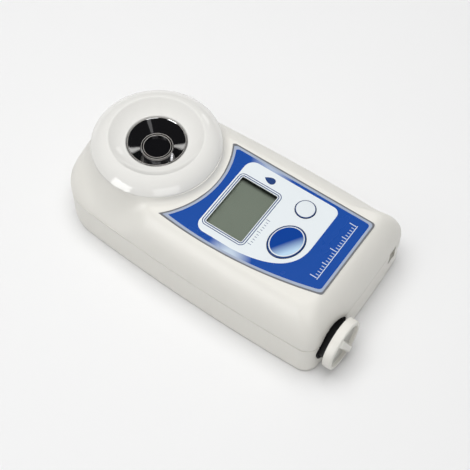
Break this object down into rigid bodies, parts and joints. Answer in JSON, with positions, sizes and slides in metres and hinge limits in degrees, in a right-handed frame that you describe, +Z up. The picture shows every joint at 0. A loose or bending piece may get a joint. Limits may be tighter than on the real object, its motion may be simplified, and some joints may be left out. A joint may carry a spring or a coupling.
{
  "type": "digital pocket refractometer",
  "caption": "Palm-sized sample analyser: white moulded body with a glossy round stage and steel well, a display and two keys under a printed overlay, and a twist battery cap.",
  "frame": {"origin": "on the table, under the middle of the moulded body", "axes": "+Z up; +Y towards the sample stage; +X to the user's right; the battery cap is in the wall at -Y"},
  "size_m": [0.0548, 0.1073, 0.0336],
  "materials": {
    "shell": "fine satin",
    "gloss_shell": "polished",
    "polished_steel": "mirror polished",
    "grey_rubber": "matt",
    "prism_glass": "polished, dark seen from above",
    "black_rubber": "matt",
    "optic_black": "matt",
    "lens_glass": "polished",
    "amber_resin": "clear amber",
    "chip_black": "satin",
    "board_green": "solder mask",
    "probe_metal": "satin",
    "screw_steel": "zinc plated",
    "overlay_film": "printed film",
    "window_clear": "clear",
    "display_grey": "grey-green reflective",
    "key_blue": "glossy",
    "key_white": "glossy",
    "tube_plastic": "satin",
    "cell_jacket": "smooth",
    "contact_brass": "plated"
  },
  "bodies": {
    "housing": {"upper_case": "shell", "lower_case": "shell", "stage_dome": "gloss_shell", "sample_dish": "polished_steel", "case_gasket": "grey_rubber", "prism": "prism_glass", "prism_seal": "black_rubber", "optical_block": "optic_black", "lens": "lens_glass", "light_emitter": "amber_resin", "image_sensor": "chip_black", "sensor_board": "board_green", "main_board": "board_green", "main_chip": "chip_black", "temperature_probe": "probe_metal", "block_screw_left": "screw_steel", "block_screw_right": "screw_steel", "case_screw_1": "screw_steel", "case_screw_2": "screw_steel", "case_screw_3": "screw_steel", "case_screw_4": "screw_steel", "overlay": "overlay_film", "display_window": "window_clear", "display_glass": "display_grey", "display_connector": "black_rubber", "start_switch": "chip_black", "zero_switch": "chip_black", "battery_tube": "tube_plastic", "cell_front": "cell_jacket", "cell_back": "cell_jacket", "far_contact": "contact_brass"},
    "start_key": {"start_button": "key_blue", "start_plunger": "screw_steel"},
    "zero_key": {"zero_button": "key_white", "zero_plunger": "screw_steel"},
    "cap": {"battery_cap": "shell", "cap_contact": "contact_brass", "cap_seal": "black_rubber"}
  },
  "joints": [
    {"name": "start_press", "type": "slide", "parent": "housing", "child": "start_key", "axis": [0, 0, -1], "range_m": [0, 0.0005], "stiffness_N_per_m": 2000, "springref_m": -0.0003},
    {"name": "zero_press", "type": "slide", "parent": "housing", "child": "zero_key", "axis": [0, 0, -1], "range_m": [0, 0.0005], "stiffness_N_per_m": 2000, "springref_m": -0.0003},
    {"name": "cap_turn", "type": "hinge", "parent": "housing", "child": "cap", "pos_m": [-0.0162, -0.0525, 0.0099], "axis": [0, -1, 0], "range_deg": [0, 70]}
  ]
}
